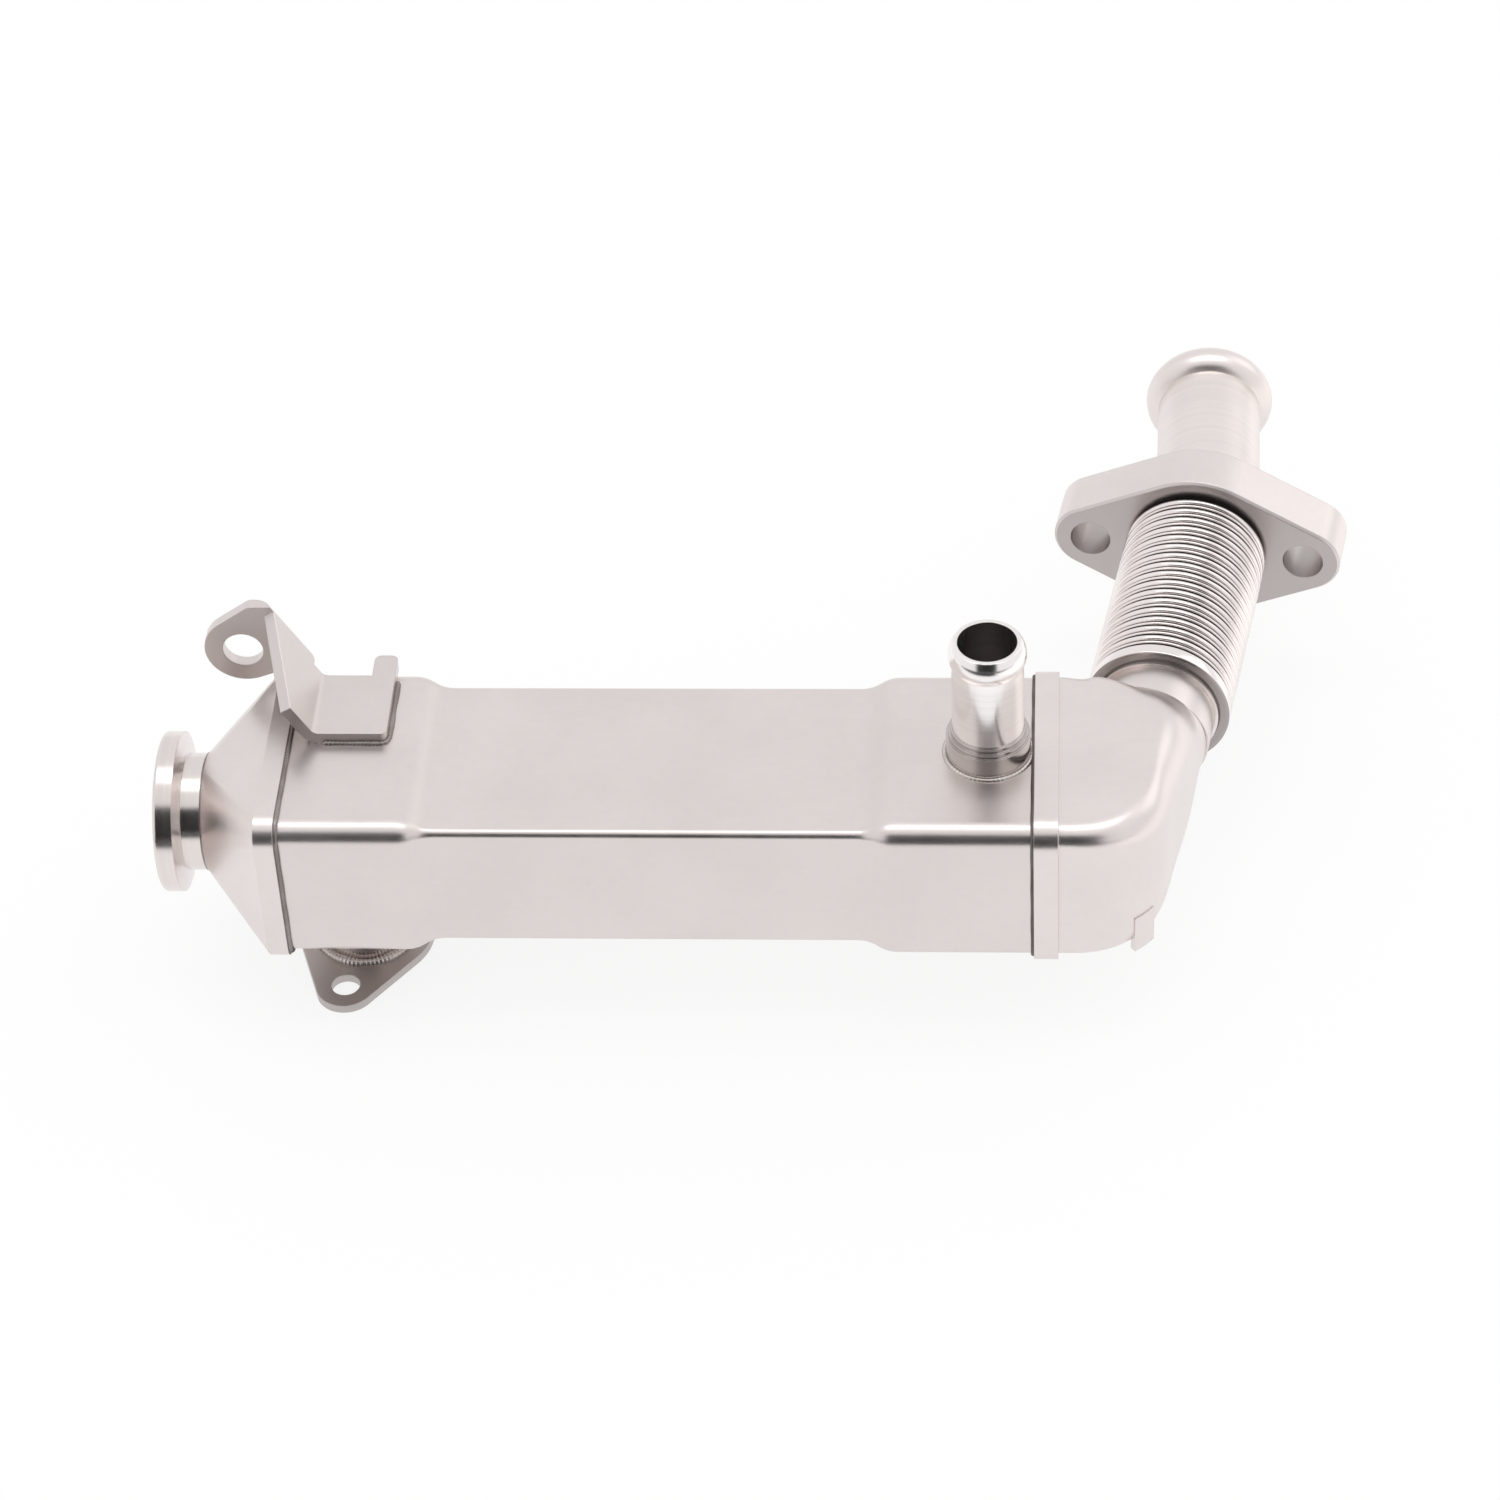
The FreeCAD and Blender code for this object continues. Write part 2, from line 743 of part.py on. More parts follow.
def make_bracket():
    plate = bent_strip(bracket_near, bracket_back, arm_far)
    plate = plate.cut(slanted_end()).cut(back_notch())
    rooted = bracket_notch - bracket_sheet
    finger = Part.makeBox(bracket_right - finger_left, finger_end - rooted, bracket_sheet,
                          V(finger_left, rooted, half_h))
    plate = plate.fuse(finger)
    rounds = [e for e in plate.Edges if upright_corner(e)]
    plate = plate.makeFillet(finger_round, rounds)
    plate = plate.fuse(make_ear()).removeSplitter()
    folds = [e for e in plate.Edges if on_fold(e)]
    plate = plate.makeFillet(fold_round, folds).cut(lower_back_corner())
    hole = (ear_bolt + bolt_gap) / 2
    ear_hole = rod(V(ear_x, bracket_back - 2 * bracket_sheet, ear_z), V(0, 1, 0), hole,
                   3 * bracket_sheet)
    return plate.cut(ear_hole)


def on_fold(edge):
    """True for the outer edge of the fold between the arm and the ear."""
    a = edge.Vertexes[0].Point
    b = edge.Vertexes[-1].Point
    if abs(a.y - bracket_back) > 0.01 or abs(b.y - bracket_back) > 0.01:
        return False
    line = arm_point(arm_far, bracket_sheet) - arm_point(0, bracket_sheet)
    gap_a = (a - arm_point(0, bracket_sheet)).cross(line).y
    gap_b = (b - arm_point(0, bracket_sheet)).cross(line).y
    return abs(gap_a) < 0.5 and abs(gap_b) < 0.5 and (a - b).Length > bracket_sheet


def upright_corner(edge):
    """True for the upright edges at the base's right side, which are rounded."""
    a = edge.Vertexes[0].Point
    b = edge.Vertexes[-1].Point
    level = abs(a.x - b.x) + abs(a.y - b.y)
    if level > 0.01 or abs(abs(a.z - b.z) - bracket_sheet) > 0.01:
        return False
    outer = abs(a.x - bracket_right) < 0.01
    tip = abs(a.y - finger_end) < 0.01
    return outer or tip


# Core inside the shell
def tube_level(k):
    return (k - (tube_count - 1) / 2) * tube_pitch


def tube_block(k, x_from, x_to, inset):
    half_side = tube_width / 2 - inset
    half_top = tube_height / 2 - inset
    block = prism(x_from, x_to, half_side, half_top, half_top * tube_round)
    block.translate(V(0, 0, tube_level(k)))
    return block


def all_tubes():
    blocks = [tube_block(k, shell_start, shell_end, 0) for k in range(tube_count)]
    return blocks[0].multiFuse(blocks[1:])


def make_header(x_rim, way):
    """Cup-shaped tube plate: a flat plate with slots and a rim against the shell."""
    x_plate = x_rim + way * header_rim
    x_low = min(x_rim, x_plate)
    half_side = half_w - sheet
    half_top = half_h - sheet
    corner = shell_corner - sheet
    cup = prism(x_low, x_low + header_rim, half_side, half_top, corner)
    hollow_low = min(x_rim, x_plate - way * header_thick)
    rim = header_rim_thick
    hollow = prism(hollow_low, hollow_low + header_rim - header_thick, half_side - rim,
                   half_top - rim, corner - rim)
    return cup.cut(hollow).cut(all_tubes())


def tube_ends():
    first = header_left + header_rim - header_thick - tube_over
    last = header_right - header_rim + header_thick + tube_over
    return first, last


def make_tube(k):
    x_from, x_to = tube_ends()
    outside = tube_block(k, x_from, x_to, 0)
    return outside.cut(tube_block(k, x_from - 1, x_to + 1, tube_wall))


def make_fin(k):
    """Square-folded strip that fills a tube from side to side."""
    x_from, x_to = tube_ends()
    top = tube_height / 2 - tube_wall
    thin = fin_sheet
    start = -fin_count * fin_pitch / 2
    upper = []
    lower = []
    for n in range(fin_count):
        left = start + n * fin_pitch
        right = left + fin_pitch / 2
        end = left + fin_pitch
        upper += [(left, top), (right, top), (right, -top + thin), (end, -top + thin)]
        lower += [(left + thin, -top), (left + thin, top - thin), (right - thin, top - thin),
                  (right - thin, -top)]
    last = start + fin_count * fin_pitch
    upper += [(last, top), (last + thin, top), (last + thin, -top)]
    outline = [(start, -top)] + upper + lower[::-1][:-1] + [(start + thin, -top)]
    points = [V(x_from + fin_margin, y, z + tube_level(k)) for y, z in outline]
    face = Part.Face(Part.makePolygon(points + points[:1]))
    return face.extrude(V(x_to - x_from - 2 * fin_margin, 0, 0))


def make_baffle(n):
    """Plate that holds the tubes apart and sends the coolant to one side."""
    x = baffle_places[n]
    corner = shell_corner - sheet - waist_depth
    plate = prism(x, x + baffle_thick, core_half_w, core_half_h, corner)
    low = core_half_w - baffle_window if n % 2 else -core_half_w
    window = Part.makeBox(2 * baffle_thick, baffle_window, shell_height,
                          V(x - baffle_thick / 2, low, -half_h))
    return plate.cut(window).cut(all_tubes())


save(make_shell(), "core_shell")
save(make_clamp_flange(), "clamp_flange")
save(make_cone(), "outlet_cone")
save(make_elbow(), "inlet_elbow")
save(make_tab(), "elbow_tab")
save(make_bellows_collar(), "bellows_collar")
save(make_bellows(), "bellows")
save(make_gas_flange(), "gas_flange")
save(make_spigot(), "spigot")
save(make_nipple(), "coolant_nipple")
save(make_nipple_collar(), "nipple_collar")
save(make_outlet_tube(), "coolant_outlet_tube")
save(make_outlet_flange(), "coolant_flange")
save(make_bracket(), "mounting_bracket")
save(make_header(header_left, 1), "header_outlet_side")
save(make_header(header_right, -1), "header_inlet_side")
for k in range(tube_count):
    save(make_tube(k), "gas_tube_" + str(k + 1))
    save(make_fin(k), "fin_" + str(k + 1))
for n in range(len(baffle_places)):
    save(make_baffle(n), "baffle_" + str(n + 1))
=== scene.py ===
# %% [markdown]
# # Exhaust gas cooler: from solid parts to a finished picture
#
# The solid parts come from the CAD frame, so every size is settled before this lesson
# starts. What is left is what the eye reads as real: steel that has been rolled, pressed,
# turned and welded, small beads of weld where two pieces meet, and plain studio light.
# Blender works in metres. The object's sizes are written in millimetres here, and are
# multiplied by `MM` where they are handed to Blender. The stage round it is in metres.

# %% Load the solid parts
import bpy
import bmesh
import math
from mathutils import Matrix, Vector


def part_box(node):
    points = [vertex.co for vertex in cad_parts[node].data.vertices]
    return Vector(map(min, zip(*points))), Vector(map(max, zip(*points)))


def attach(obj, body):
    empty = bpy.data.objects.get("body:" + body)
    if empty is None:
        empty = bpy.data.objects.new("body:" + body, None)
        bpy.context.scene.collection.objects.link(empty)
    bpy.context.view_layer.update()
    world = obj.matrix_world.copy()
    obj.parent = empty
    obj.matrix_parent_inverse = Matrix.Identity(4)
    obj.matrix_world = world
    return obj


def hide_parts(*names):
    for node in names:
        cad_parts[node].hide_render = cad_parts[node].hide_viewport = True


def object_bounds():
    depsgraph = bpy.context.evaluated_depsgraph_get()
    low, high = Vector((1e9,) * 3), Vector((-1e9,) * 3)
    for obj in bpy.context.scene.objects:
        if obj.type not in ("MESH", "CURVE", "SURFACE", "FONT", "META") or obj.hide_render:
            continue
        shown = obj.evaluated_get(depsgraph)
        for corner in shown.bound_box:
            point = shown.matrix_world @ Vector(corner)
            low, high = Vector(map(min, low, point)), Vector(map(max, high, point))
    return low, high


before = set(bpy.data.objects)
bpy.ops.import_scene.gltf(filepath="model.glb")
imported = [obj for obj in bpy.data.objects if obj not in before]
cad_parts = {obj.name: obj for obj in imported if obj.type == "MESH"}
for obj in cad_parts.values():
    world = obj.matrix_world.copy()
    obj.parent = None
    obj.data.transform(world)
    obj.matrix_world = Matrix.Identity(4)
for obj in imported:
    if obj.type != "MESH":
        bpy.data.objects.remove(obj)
cad_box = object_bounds()
MM = 0.001
print("solid parts:", len(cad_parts))

# %% [markdown]
# ## Sizes that come from the solids
#
# A weld lies where one piece ends on another. Its place could be typed in as a number, but
# then it would stay behind if the cooler were made longer or wider. So the ends of the
# pieces are read from the solids, and the welds and turning axes further down start there.
# The bellows and the spigot lean, which a box can't tell, so their axes are written out as
# a point and a lean from straight back.

# %% Places and axes
def ends(node, axis):
    """Where a solid part starts and stops along one axis, in millimetres.

    A mesh carries small errors, so the last digits are rounded off.
    """
    low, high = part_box(node)
    k = "XYZ".index(axis)
    return round(low[k] / MM, 2), round(high[k] / MM, 2)


def leaning(degrees):
    """Direction that points straight back and leans to the right."""
    lean = math.radians(degrees)
    return Vector((math.sin(lean), math.cos(lean), 0.0))


core_half_y = ends("core_shell", "Y")[1]
core_half_z = ends("core_shell", "Z")[1]
neck_end = ends("clamp_flange", "X")[1]
skirt_end = ends("outlet_cone", "X")[1]
band_start = ends("inlet_elbow", "X")[0]
seat_level = ends("coolant_flange", "Z")[1]
nipple_x = round(sum(ends("coolant_nipple", "X")) / 2, 1)
outlet_x = round(sum(ends("coolant_outlet_tube", "X")) / 2, 1)

upright = (0, 0, 1)
lengthwise = (1, 0, 0)
bellows_base = Vector((225.0, 36.1, 0.0))
bellows_axis = leaning(9.8)
bellows_side = Vector((bellows_axis.y, -bellows_axis.x, 0.0))
spigot_base = Vector((237.76, 106.15, 0.0))
spigot_axis = leaning(1.6)
print("core, mm:", 2 * core_half_y, "by", 2 * core_half_z)
print("nipple and outlet at, mm:", nipple_x, outlet_x)

# %% [markdown]
# ## A small language for finishes
#
# A shader is a graph of nodes, and a graph is hard to read as a list of links. It could be
# built with one call for each node and each link, but a sum of three noises then takes a
# page. Here a socket is wrapped in a class that knows sums and products, so that a line
# such as `0.3 + 0.1 * grain` builds the Math nodes by itself.

# %% Socket arithmetic
class Signal:
    """A number that changes over a surface. Arithmetic on it adds Math nodes."""

    def __init__(self, finish, socket):
        self.finish = finish
        self.socket = socket

    def math(self, operation, *values):
        sockets = dict(enumerate(values))
        return self.finish.add("ShaderNodeMath", {"operation": operation}, sockets)

    def __add__(self, other):
        return self.math("ADD", self, other)

    def __radd__(self, other):
        return self.math("ADD", other, self)

    def __sub__(self, other):
        return self.math("SUBTRACT", self, other)

    def __rsub__(self, other):
        return self.math("SUBTRACT", other, self)

    def __mul__(self, other):
        return self.math("MULTIPLY", self, other)

    def __rmul__(self, other):
        return self.math("MULTIPLY", other, self)

    def __pow__(self, other):
        return self.math("POWER", self, other)

    def ramp(self, low, high):
        """Smooth step from 0 at low to 1 at high. Low may be the larger one."""
        settings = {"interpolation_type": "SMOOTHSTEP"}
        return self.finish.add("ShaderNodeMapRange", settings, {0: self, 1: low, 2: high})

    def size(self):
        return self.math("ABSOLUTE", self)

    def least(self, other):
        return self.math("MINIMUM", self, other)


print("socket arithmetic ready")

# %% [markdown]
# ## One method for every other node
#
# Everything that isn't plain arithmetic comes from one method, `add`, which takes the
# node's type, its settings and the values of its sockets. A value may be a number or a
# `Signal`, and a signal becomes a link. The other methods are short names for what the
# finishes below ask for again and again: where a point lies, which way its face looks, and
# how far it is from an axis.

# %% The finish
class Finish:
    """A material whose nodes are added in plain steps."""

    faces_away = 0.55
    faces_fully = 0.9

    def __init__(self, name):
        self.material = bpy.data.materials.new(name)
        self.material.use_nodes = True
        self.tree = self.material.node_tree
        self.tree.nodes.clear()

    def add(self, kind, settings=None, sockets=None, output=0):
        node = self.tree.nodes.new(kind)
        for key, value in (settings or {}).items():
            setattr(node, key, value)
        for key, value in (sockets or {}).items():
            if isinstance(value, Signal):
                self.tree.links.new(value.socket, node.inputs[key])
            else:
                node.inputs[key].default_value = value
        return Signal(self, node.outputs[output]) if node.outputs else None

    def place(self):
        """Where a point is on the object, in metres."""
        return self.add("ShaderNodeTexCoord", output="Object")

    def dot(self, first, second):
        settings = {"operation": "DOT_PRODUCT"}
        return self.add("ShaderNodeVectorMath", settings, {0: first, 1: second}, "Value")

    def facing(self, direction):
        """From 0 to 1 where the surface of the solid faces a direction."""
        normal = self.add("ShaderNodeTexCoord", output="Normal")
        return self.dot(normal, direction).ramp(self.faces_away, self.faces_fully)

    def about(self, base, axis):
        """Distance along an axis and from it, in metres, of a point on the object."""
        settings = {"operation": "SUBTRACT"}
        offset = self.add("ShaderNodeVectorMath", settings, {0: self.place(), 1: base})
        along = self.dot(offset, axis)
        return along, (self.dot(offset, offset) - along * along).size() ** 0.5

    def stretch(self, vector, scale):
        settings = {"vector_type": "POINT"}
        return self.add("ShaderNodeMapping", settings, {"Vector": vector, "Scale": scale})

    def noise(self, vector, scale, detail=3.0, rough=0.5):
        """Cloudy pattern from about 0.3 to 0.7, with scale waves in a metre."""
        sockets = {"Vector": vector, "Scale": scale, "Detail": detail, "Roughness": rough}
        return self.add("ShaderNodeTexNoise", {}, sockets)

    def blend(self, factor, first, second):
        settings = {"data_type": "RGBA", "blend_type": "MIX"}
        sockets = {0: factor, 6: first, 7: second}
        return self.add("ShaderNodeMix", settings, sockets, 2)


noise_low = 0.3
noise_high = 0.7
print("finish tools ready")

# %% [markdown]
# ## What all the steel shares
#
# Bare stainless steel is grey with a slight warm cast, and it is a metal all through, so
# its colour is the colour of its reflections. Its fine marks could be cut into the mesh,
# but they are hundredths of a millimetre deep, so a Bump node carries them. Real edges are
# never sharp either. A Bevel node rounds them in the shader, which costs nothing in the
# mesh and gives each edge its thin highlight.

# %% Colour and shader of bare steel
mark_strength = 0.35
bevel_samples = 4
more_red = 0.045
less_green = 0.035
less_blue = 0.06


def warm(level, cast=1.0):
    """Linear grey with the slight warm cast of stainless steel."""
    return (level * (1 + more_red * cast), level * (1 - less_green * cast),
            level * (1 - less_blue * cast), 1.0)


def metal(finish, color, roughness, height, edge, depth=0.02):
    """Ends a finish: marks of this depth, over edges rounded by edge, in millimetres."""
    sockets = {"Height": height, "Strength": mark_strength, "Distance": depth * MM}
    if edge:
        rounding = {"Radius": edge * MM}
        sockets["Normal"] = finish.add("ShaderNodeBevel", {"samples": bevel_samples}, rounding)
    bump = finish.add("ShaderNodeBump", {}, sockets)
    shader = finish.add("ShaderNodeBsdfPrincipled", {}, {
        "Base Color": color, "Roughness": roughness, "Metallic": 1.0, "Normal": bump})
    finish.add("ShaderNodeOutputMaterial", {}, {"Surface": shader})
    return finish.material


print("steel at level 0.7:", [round(part, 3) for part in warm(0.7)])

# %% [markdown]
# ## Stainless sheet, satin
#
# The shell, the cone and the elbow are stainless sheet that was rolled, pressed and then
# left satin. A photographed texture could give that look, but it would show its seams on
# a folded part. Noise worked out from the place on the object has none. Seen close, the
# surface has four sizes of detail: fine grain along the rolling direction, spots of a few
# millimetres, clouds of a centimetre or two from handling and pickling, and slow waves
# where the press has drawn the sheet. Grain and spots go into colour, roughness and bump,
# the clouds into colour and roughness, and the waves into bump alone. Painted shade darkens
# the faces that look one given way, and the wall of a hole.

# %% The satin sheet finish
across_grain = 2600.0       # waves in a metre, as all scales of noise are
along_grain = 110.0
cloud_scale = 45.0
spot_scale = 420.0
press_scale = 14.0
sheet_dark = 0.965          # shares of the level in the darkest and lightest spots
sheet_light = 1.03
hole_edge = 0.25            # the painted shade on the wall of a hole fades out between these two
hole_wall = 0.05
hole_shade_tone = 0.62


def sheet_steel(name, level, rough, rolled, edge=0.3, painted_shade_side=None, painted_shade_share=0.8, holes=()):
    """Satin sheet, with painted shade on the faces that look the given way and in its holes
    (centre, axis, radius).
    """
    finish = Finish(name)
    place = finish.place()
    scales = [along_grain if axis == rolled else across_grain for axis in "XYZ"]
    grain = finish.noise(finish.stretch(place, scales), 1.0, 4.0, 0.6)
    cloud = finish.noise(place, cloud_scale)
    spots = finish.noise(place, spot_scale, 2.0)
    press = finish.noise(place, press_scale, 1.0)
    tone = (0.55 * cloud + 0.25 * grain + 0.2 * spots).ramp(noise_low, noise_high)
    color = finish.blend(tone, warm(level * sheet_dark), warm(level * sheet_light))
    # Painted shade: the faces that look the given way get a darker colour.
    if painted_shade_side:
        color = finish.blend(finish.facing(painted_shade_side), color, warm(level * painted_shade_share))
    # Painted shade on the wall of each hole.
    for centre, axis, radius in holes:
        apart = finish.about(centre * MM, axis)[1]
        hole_shade = apart.ramp((radius + hole_edge) * MM, (radius + hole_wall) * MM)
        color = finish.blend(hole_shade, color, warm(level * hole_shade_tone))
    roughness = rough + 0.07 * (cloud - 0.5) + 0.08 * (grain - 0.5) + 0.04 * (spots - 0.5)
    height = 0.6 * grain + 0.3 * spots + 0.4 * press
    return metal(finish, color, roughness, height, edge)


front_side = (0, -1, 0)
bolt_offset = 25.5
bolt_hole_radius = 4.8
bolt_holes = [(bellows_base + bellows_side * side * bolt_offset, bellows_axis, bolt_hole_radius)
              for side in (-1, 1)]

shell_satin = sheet_steel("shell_satin", level=0.735, rough=0.34, rolled="X")
pressed_satin = sheet_steel("pressed_satin", level=0.77, rough=0.31, rolled="X")
# Painted shade on the bracket's faces that look to the front.
bracket_satin = sheet_steel("bracket_satin", level=0.70, rough=0.34, rolled="Y", edge=0.35,
                            painted_shade_side=front_side, painted_shade_share=0.86)
plate_satin = sheet_steel("plate_satin", level=0.50, rough=0.38, rolled="Y", edge=0.35)
inner_satin = sheet_steel("inner_satin", level=0.50, rough=0.42, rolled="X", edge=0.15)
# Painted shade on the flange's face that looks forward, to the bellows, and in its bolt holes.
flange_satin = sheet_steel("flange_satin", level=0.78, rough=0.33, rolled="Y", edge=0.35,
                           painted_shade_side=-bellows_axis, painted_shade_share=0.62, holes=bolt_holes)
print("sheet finishes:", 6)

# %% [markdown]
# ## Turned and polished steel
#
# The clamp flange, the spigot and the collars come off a lathe. A tool leaves fine rings
# about the axis. They could be cut as real grooves, but they are only hundredths of a
# millimetre deep, so a pattern is enough. It depends on the distance along the axis and on
# the radius and on nothing else, so it closes on itself all the way round. Each turned
# piece has its own axis, and the finish takes that axis as a point and a direction.
# Polished tube gets the same rings, only far weaker, and a low roughness.

# %% The turned finish
turned_edge = 0.25
turned_cloud_scale = 60.0
turned_dark = 0.93
turned_light = 1.06
band_scale = 0.12           # scale of the broad bands, as a share of the rings' scale


def turned_steel(name, level, rough, base, axis, ring=0.16, mark=1.0, cast=1.0):
    """Lathe rings, ring millimetres apart, about the line through base along axis."""
    finish = Finish(name)
    place = finish.place()
    along, radius = finish.about(base * MM, axis)
    path = finish.add("ShaderNodeCombineXYZ", {}, {0: along, 1: radius, 2: 0.0})
    rings = finish.noise(path, 1.0 / (ring * MM), 3.0, 0.65)
    bands = finish.noise(path, band_scale / (ring * MM), 2.0)
    cloud = finish.noise(place, turned_cloud_scale, 2.0)
    tone = (0.5 * rings + 0.3 * bands + 0.2 * cloud).ramp(noise_low, noise_high)
    color = finish.blend(tone, warm(level * turned_dark, cast), warm(level * turned_light, cast))
    roughness = rough + mark * (0.12 * (rings - 0.5) + 0.06 * (bands - 0.5)) + 0.05 * (cloud - 0.5)
    height = mark * (rings + 0.5 * bands)
    return metal(finish, color, roughness, height, turned_edge)


core_base = Vector((0.0, 0.0, 0.0))
nipple_base = Vector((nipple_x, 0.0, 0.0))
outlet_base = Vector((outlet_x, 0.0, 0.0))

rim_turned = turned_steel("rim_turned", level=0.76, rough=0.21, base=core_base,
                          axis=lengthwise)
spigot_turned = turned_steel("spigot_turned", level=0.81, rough=0.34, base=spigot_base,
                             axis=spigot_axis, mark=0.3)
collar_turned = turned_steel("collar_turned", level=0.56, rough=0.17, base=nipple_base,
                             axis=upright)
ring_turned = turned_steel("ring_turned", level=0.78, rough=0.16, base=bellows_base,
                           axis=bellows_axis)
nipple_polished = turned_steel("nipple_polished", level=0.92, rough=0.19, base=nipple_base,
                               axis=upright, ring=0.3, mark=0.35, cast=0.45)
outlet_polished = turned_steel("outlet_polished", level=0.70, rough=0.18, base=outlet_base,
                               axis=upright, ring=0.3, mark=0.35)
print("turned finishes:", 6)

# %% [markdown]
# ## Dress the solid parts
#
# The solids already have the right shapes. They could be copied and dressed as new pieces,
# but a copy would only be one more thing to keep in line, so each solid keeps its mesh and
# gets its finish. What sits inside the shell gets the plain dull sheet.

# %% Finishes on the solid parts
dress = {
    "core_shell": shell_satin,
    "outlet_cone": pressed_satin,
    "inlet_elbow": pressed_satin,
    "elbow_tab": pressed_satin,
    "clamp_flange": rim_turned,
    "spigot": spigot_turned,
    "nipple_collar": collar_turned,
    "bellows_collar": ring_turned,
    "coolant_nipple": nipple_polished,
    "coolant_outlet_tube": outlet_polished,
    "gas_flange": flange_satin,
    "coolant_flange": plate_satin,
    "mounting_bracket": bracket_satin,
}
for node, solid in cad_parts.items():
    solid.data.materials.clear()
    solid.data.materials.append(dress.get(node, inner_satin))
print("dressed:", len(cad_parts))

# %% [markdown]
# ## A skin over rings
#
# Bellows and weld beads are the same kind of form: rings of points, one behind the other.
# A curve with a bevel would do for the beads, but the bellows has a cup face and a bore,
# which a bevel can't give. So one helper joins rings of points into a smooth skin, and
# every piece that is made here goes through it.

# %% The skin helper
def skin(name, rings, finish, closed=True):
    """Smooth mesh over rings of points, all with the same number of points."""
    grid = bmesh.new()
    rows = [[grid.verts.new(point) for point in ring] for ring in rings]
    pairs = list(zip(rows, rows[1:]))
    if closed:
        pairs.append((rows[-1], rows[0]))
    for first, second in pairs:
        for k in range(len(first)):
            after = (k + 1) % len(first)
            face = grid.faces.new((first[k], first[after], second[after], second[k]))
            face.smooth = True
    if not closed:
        grid.faces.new(rows[0])
        grid.faces.new(rows[-1][::-1])
    bmesh.ops.recalc_face_normals(grid, faces=grid.faces)
    mesh = bpy.data.meshes.new(name)
    grid.to_mesh(mesh)
    grid.free()
    mesh.materials.append(finish)
    piece = bpy.data.objects.new(name, mesh)
    bpy.context.scene.collection.objects.link(piece)
    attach(piece, "root")
    return piece


def round_turn(centre, first, second, radius, count):
    """Points of a circle in the plane of two directions at right angles."""
    turns = [2 * math.pi * n / count for n in range(count)]
    return [centre + (first * math.cos(a) + second * math.sin(a)) * radius for a in turns]


print("skin helper ready")

# %% [markdown]
# ## The bellows finish
#
# The bellows is thin sheet in the plain colour of the steel. Its grooves get painted shade:
# the finish darkens with depth, measured from the axis. The first crest ends in a flat cup
# face, where the sheet turns in to the neck, and where that face looks forward it gets
# painted shade, a dull grey. Two materials with an edge between them could do this, but
# one finish that reads the distance from the axis needs no seam in the mesh.

# %% The bellows finish
groove_shade_deepest = 15.9          # radius where the painted shade is darkest
groove_shade_end = 16.4         # radius where it ends
groove_shade_tone = 0.10
cup_inner = 0.8             # the cup's painted shade fades out between these two along the axis
cup_outer = 0.4
cup_shade_tone = 0.40
crest_tones = (0.86, 0.90)
crest_cast = 0.8
bellows_cloud_scale = 70.0
bellows_grit_scale = 2200.0


def bellows_steel():
    finish = Finish("bellows_formed")
    place = finish.place()
    along, radius = finish.about(bellows_base * MM, bellows_axis)
    # Painted shade, darkest deep in the grooves.
    groove_unshaded = radius.ramp(groove_shade_deepest * MM, groove_shade_end * MM)
    # Painted shade on the cup face where it looks forward.
    cup_shade_mask = finish.facing(-bellows_axis) * along.ramp(cup_inner * MM, cup_outer * MM)
    cloud = finish.noise(place, bellows_cloud_scale)
    grit = finish.noise(place, bellows_grit_scale, 3.0, 0.6)
    low, high = [warm(tone, crest_cast) for tone in crest_tones]
    bright = finish.blend(cloud.ramp(0.35, 0.65), low, high)
    color = finish.blend(groove_unshaded, warm(groove_shade_tone), bright)
    color = finish.blend(cup_shade_mask, color, warm(cup_shade_tone))
    roughness = 0.18 + 0.06 * (cloud - 0.5) + 0.03 * (grit - 0.5) + 0.2 * (1 - groove_unshaded)
    return metal(finish, color, roughness, 0.3 * grit + 0.7 * cloud, edge=0.0, depth=0.003)


bellows_formed = bellows_steel()
print("bellows finish ready")

# %% [markdown]
# ## The bellows mesh
#
# The sheet is formed into crests, with a narrow second crest in each groove. At this size
# the eye counts the lines, and light has to roll over each of them, so bump alone won't do.
# Each crest is drawn as a half round crown on straight flanks. The section could be turned
# by a Screw modifier. It is turned here by hand, so that the skin helper and the lean of
# the axis serve as they do for the beads.

# %% Sizes of the bellows
pitch = 3.313               # from one broad crest to the next
pairs_of_crests = 16
crest_radius = 16.8
narrow_radius = 16.65
root_radius = 13.3
bore_radius = 12.9
cup_middle = 15.0           # radius half way out on the cup face
cup_corner = 0.35           # radius of the cup's front edge
cup_back = 2.55             # where the rear edge of the cup starts to round off
broad_half = 0.72           # half widths of the two kinds of crest
narrow_half = 0.34
first_narrow = 4.2          # middle of the first crest of each kind behind the cup
first_broad = 5.83
cuff_end = 59.6
crown_steps = 8
bellows_sides = 160
print("bellows length, mm:", cuff_end)


# %% The bellows mesh
def crown(centre, half, top, begin=0, end=crown_steps):
    """Half round crown, or the steps of it from begin to end, from the front of the crest."""
    points = []
    for k in range(begin, end + 1):
        turn = math.radians(180 / crown_steps * k)
        points.append((centre - half * math.cos(turn), top - half + half * math.sin(turn)))
    return points


